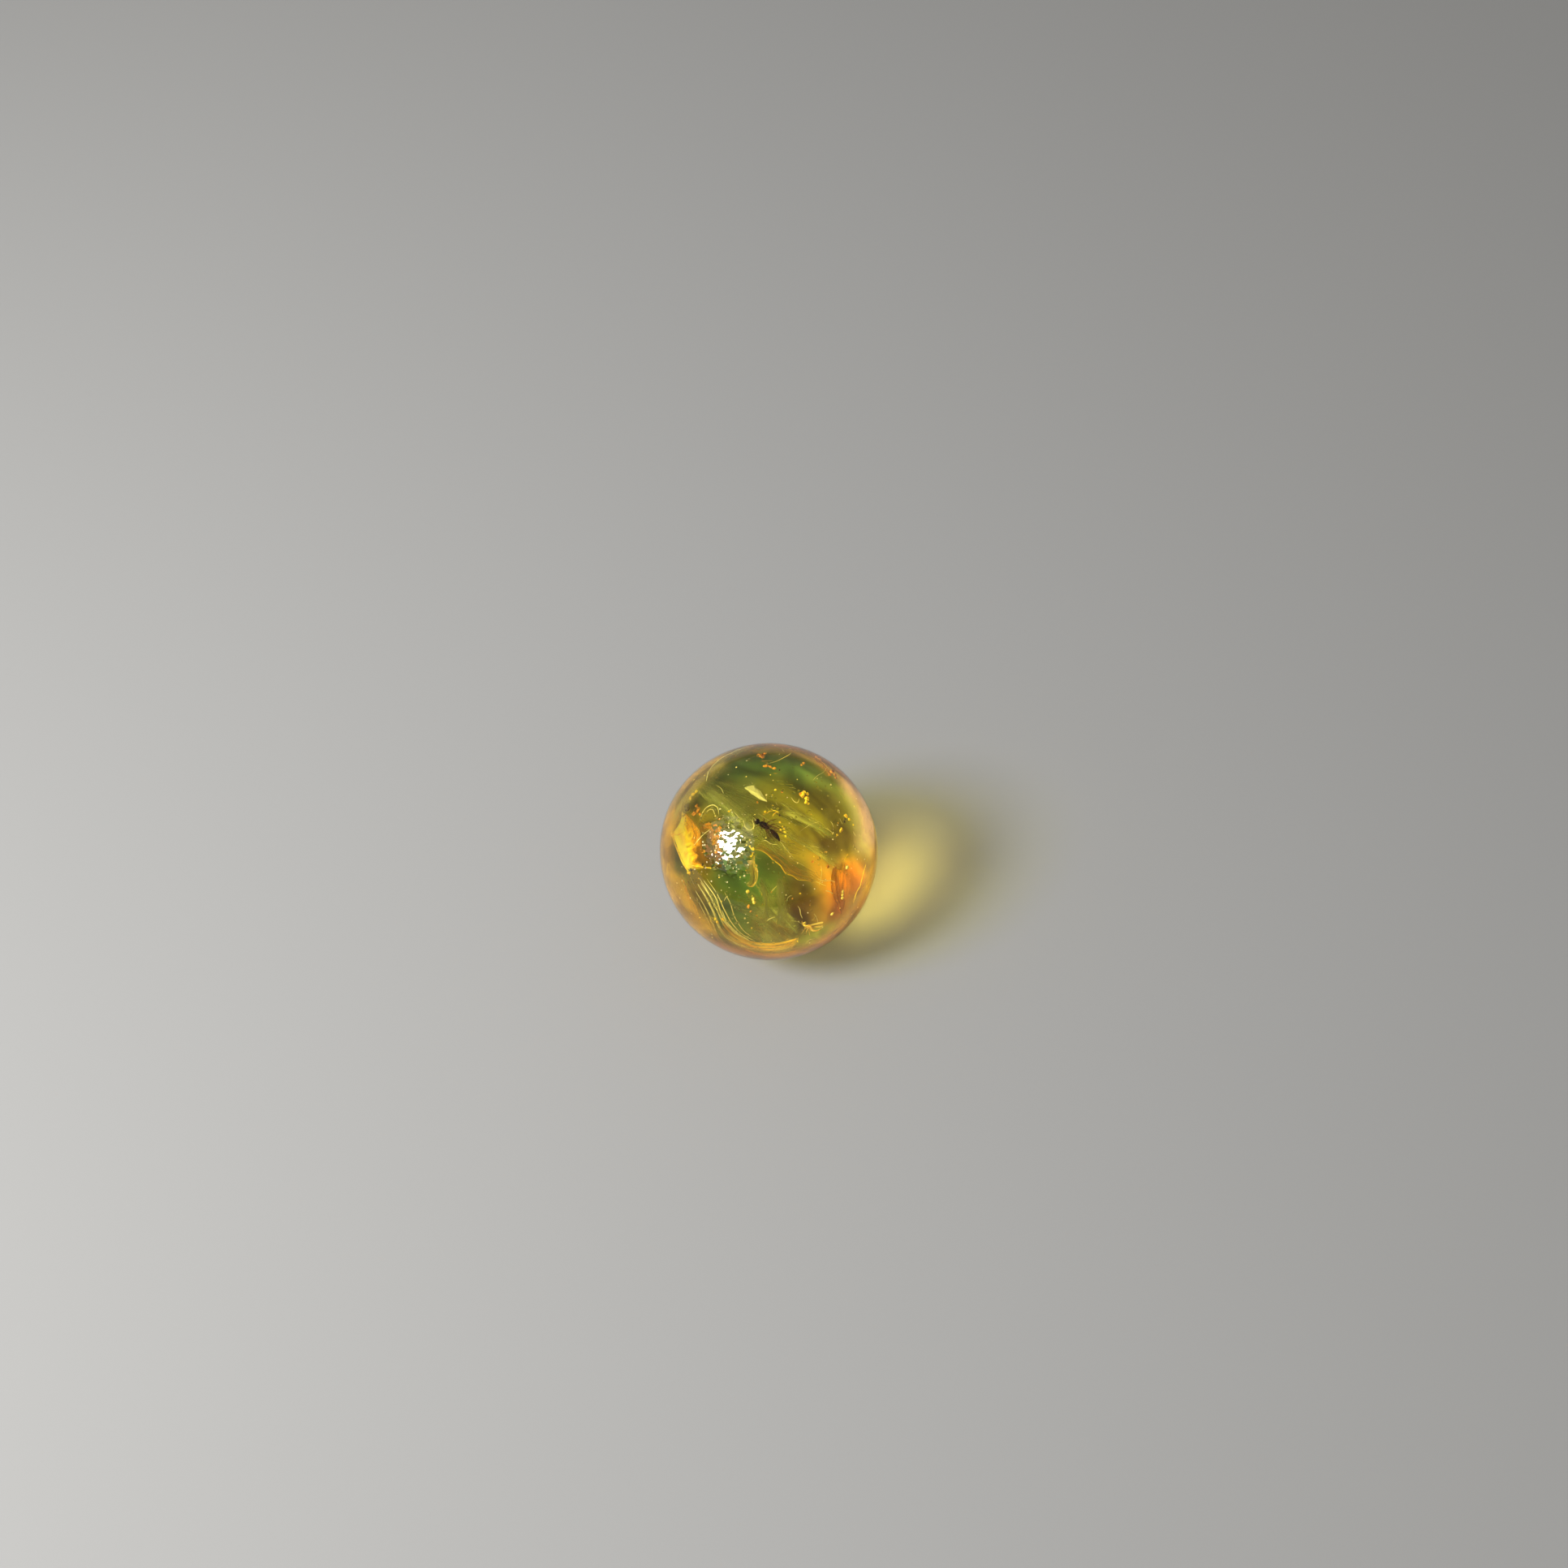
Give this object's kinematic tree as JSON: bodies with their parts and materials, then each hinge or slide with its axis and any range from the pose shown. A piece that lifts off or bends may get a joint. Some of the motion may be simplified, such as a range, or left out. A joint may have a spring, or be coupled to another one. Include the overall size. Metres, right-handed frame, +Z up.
{
  "type": "insect in amber",
  "caption": "Hand-polished ball of clear honey amber with a small dark insect, a golden gnat and a leaf flake sealed inside.",
  "frame": {"origin": "middle of the small flat foot that the ball rests on", "axes": "+Z up from the foot through the ball's centre; +Y to the back, +X to the right as the ball is seen from its front"},
  "size_m": [0.018, 0.018, 0.0178],
  "materials": {
    "amber": "hand-polished clear honey amber, transmission 1, IOR 1.54",
    "dark_insect": "dark brown insect shell, satin",
    "golden_insect": "golden insect shell, satin",
    "leaf": "dry pale leaf",
    "inclusions": "flow veils, crumbs, bubbles and dust sealed in the amber"
  },
  "bodies": {
    "root": {"amber_upper": "amber", "amber_lower": "amber", "insect": "dark_insect", "gnat": "golden_insect", "leaf_flake": "leaf", "flow_bed": "inclusions"}
  },
  "joints": []
}
